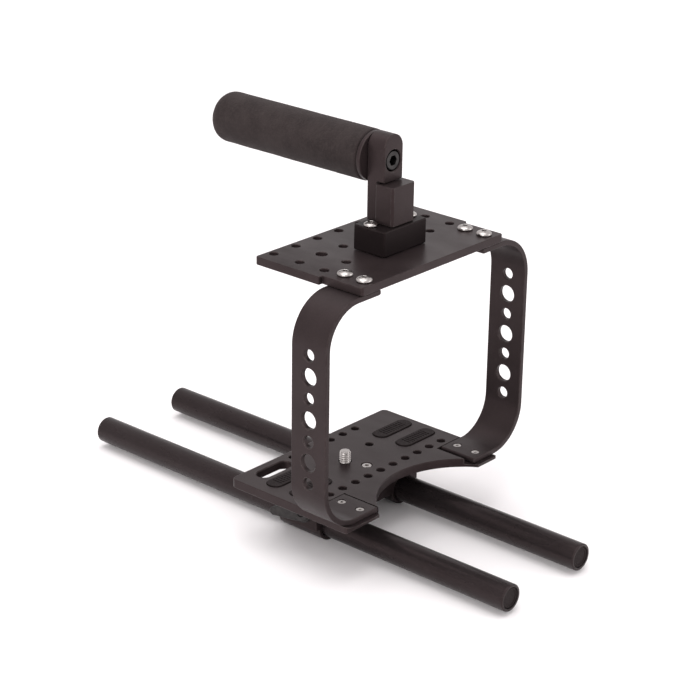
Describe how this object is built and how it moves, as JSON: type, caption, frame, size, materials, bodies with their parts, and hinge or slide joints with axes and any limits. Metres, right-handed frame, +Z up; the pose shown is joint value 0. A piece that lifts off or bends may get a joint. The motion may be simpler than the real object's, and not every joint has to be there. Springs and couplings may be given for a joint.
{
  "type": "cinema camera rig",
  "caption": "Camera cage on two sliding support rods: base plate and top plate joined by bent perforated side straps, with a rod clamp below and a foam top handle.",
  "frame": {"origin": "on the surface the rod clamp's lobes stand on, midway between the rods and midway along them", "axes": "+Z up, +Y to the back along the rods, +X across; the lens points to -Y"},
  "size_m": [0.163, 0.3, 0.2235],
  "materials": {
    "anodised_black": "satin black anodised",
    "rod_black": "semi-gloss black anodised tube",
    "bright_steel": "bright stainless screw",
    "black_steel": "black oxide",
    "rubber_black": "matt",
    "foam_black": "matt foam"
  },
  "bodies": {
    "cage": {"base_plate": "anodised_black", "rod_clamp": "anodised_black", "side_strap_left": "anodised_black", "side_strap_right": "anodised_black", "top_plate": "anodised_black", "handle_block": "anodised_black", "handle_riser": "anodised_black", "handle_arm": "anodised_black", "riser_screw": "black_steel", "arm_screw": "black_steel", "pad_right_back": "rubber_black", "pad_right_front": "rubber_black", "pad_left_back": "rubber_black", "pad_left_front": "rubber_black"},
    "rod_left_body": {"rod_left": "rod_black", "rod_left_plug_front": "rubber_black", "rod_left_plug_back": "rubber_black"},
    "lever_left_body": {"clamp_lever_left": "black_steel"},
    "rod_right_body": {"rod_right": "rod_black", "rod_right_plug_front": "rubber_black", "rod_right_plug_back": "rubber_black"},
    "lever_right_body": {"clamp_lever_right": "black_steel"},
    "grip_body": {"grip_collar": "anodised_black", "grip_core": "black_steel", "grip_foam": "foam_black"},
    "grip_bolt_body": {"grip_bolt": "black_steel"},
    "base_screw_left_front_body": {"base_screw_left_front": "bright_steel"},
    "base_screw_left_back_body": {"base_screw_left_back": "bright_steel"},
    "base_screw_right_front_body": {"base_screw_right_front": "bright_steel"},
    "base_screw_right_back_body": {"base_screw_right_back": "bright_steel"},
    "top_screw_left_front_body": {"top_screw_left_front": "bright_steel"},
    "top_screw_left_back_body": {"top_screw_left_back": "bright_steel"},
    "top_screw_right_front_body": {"top_screw_right_front": "bright_steel"},
    "top_screw_right_back_body": {"top_screw_right_back": "bright_steel"},
    "handle_screw_left_body": {"handle_screw_left": "bright_steel"},
    "handle_screw_right_body": {"handle_screw_right": "bright_steel"},
    "plate_screw_body": {"plate_screw": "bright_steel"},
    "clamp_screw_under_1_body": {"clamp_screw_under_1": "black_steel"},
    "clamp_screw_under_2_body": {"clamp_screw_under_2": "black_steel"},
    "camera_screw_body": {"camera_screw": "bright_steel"}
  },
  "joints": [
    {"name": "rod_left_slide", "type": "slide", "parent": "cage", "child": "rod_left_body", "axis": [0, 1, 0], "range_m": [-0.12, 0.1]},
    {"name": "lever_left_turn", "type": "hinge", "parent": "cage", "child": "lever_left_body", "pos_m": [0, -0.021, 0.0199], "axis": [-1, 0, 0], "range_deg": [0, 28]},
    {"name": "rod_right_slide", "type": "slide", "parent": "cage", "child": "rod_right_body", "axis": [0, 1, 0], "range_m": [-0.12, 0.1]},
    {"name": "lever_right_turn", "type": "hinge", "parent": "cage", "child": "lever_right_body", "pos_m": [0, -0.021, 0.0199], "axis": [-1, 0, 0], "range_deg": [0, 28]},
    {"name": "grip_turn", "type": "hinge", "parent": "cage", "child": "grip_body", "pos_m": [0, 0, 0.2095], "axis": [0, 1, 0], "continuous": true},
    {"name": "grip_bolt_turn", "type": "hinge", "parent": "cage", "child": "grip_bolt_body", "pos_m": [0, -0.03, 0.2095], "axis": [0, 1, 0], "continuous": true},
    {"name": "base_screw_left_front_turn", "type": "hinge", "parent": "cage", "child": "base_screw_left_front_body", "pos_m": [-0.048, -0.0638, 0.0369], "axis": [0, 0, 1], "continuous": true},
    {"name": "base_screw_left_back_turn", "type": "hinge", "parent": "cage", "child": "base_screw_left_back_body", "pos_m": [-0.048, -0.0511, 0.0369], "axis": [0, 0, 1], "continuous": true},
    {"name": "base_screw_right_front_turn", "type": "hinge", "parent": "cage", "child": "base_screw_right_front_body", "pos_m": [0.048, -0.0638, 0.0369], "axis": [0, 0, 1], "continuous": true},
    {"name": "base_screw_right_back_turn", "type": "hinge", "parent": "cage", "child": "base_screw_right_back_body", "pos_m": [0.048, -0.0511, 0.0369], "axis": [0, 0, 1], "continuous": true},
    {"name": "top_screw_left_front_turn", "type": "hinge", "parent": "cage", "child": "top_screw_left_front_body", "pos_m": [-0.048, -0.0638, 0.1629], "axis": [0, 0, 1], "continuous": true},
    {"name": "top_screw_left_back_turn", "type": "hinge", "parent": "cage", "child": "top_screw_left_back_body", "pos_m": [-0.048, -0.0511, 0.1629], "axis": [0, 0, 1], "continuous": true},
    {"name": "top_screw_right_front_turn", "type": "hinge", "parent": "cage", "child": "top_screw_right_front_body", "pos_m": [0.048, -0.0638, 0.1629], "axis": [0, 0, 1], "continuous": true},
    {"name": "top_screw_right_back_turn", "type": "hinge", "parent": "cage", "child": "top_screw_right_back_body", "pos_m": [0.048, -0.0511, 0.1629], "axis": [0, 0, 1], "continuous": true},
    {"name": "handle_screw_left_turn", "type": "hinge", "parent": "cage", "child": "handle_screw_left_body", "pos_m": [-0.0131, -0.0375, 0.1629], "axis": [0, 0, 1], "continuous": true},
    {"name": "handle_screw_right_turn", "type": "hinge", "parent": "cage", "child": "handle_screw_right_body", "pos_m": [0.0131, -0.0415, 0.1629], "axis": [0, 0, 1], "continuous": true},
    {"name": "plate_screw_turn", "type": "hinge", "parent": "cage", "child": "plate_screw_body", "pos_m": [-0.0055, -0.0314, 0.0369], "axis": [0, 0, 1], "continuous": true},
    {"name": "clamp_screw_under_1_turn", "type": "hinge", "parent": "cage", "child": "clamp_screw_under_1_body", "pos_m": [0.008, -0.006, 0.0369], "axis": [0, 0, 1], "continuous": true},
    {"name": "clamp_screw_under_2_turn", "type": "hinge", "parent": "cage", "child": "clamp_screw_under_2_body", "pos_m": [0.008, -0.02, 0.0369], "axis": [0, 0, 1], "continuous": true},
    {"name": "camera_screw_turn", "type": "hinge", "parent": "cage", "child": "camera_screw_body", "pos_m": [-0.0097, -0.0194, 0.0369], "axis": [0, 0, 1], "continuous": true}
  ]
}
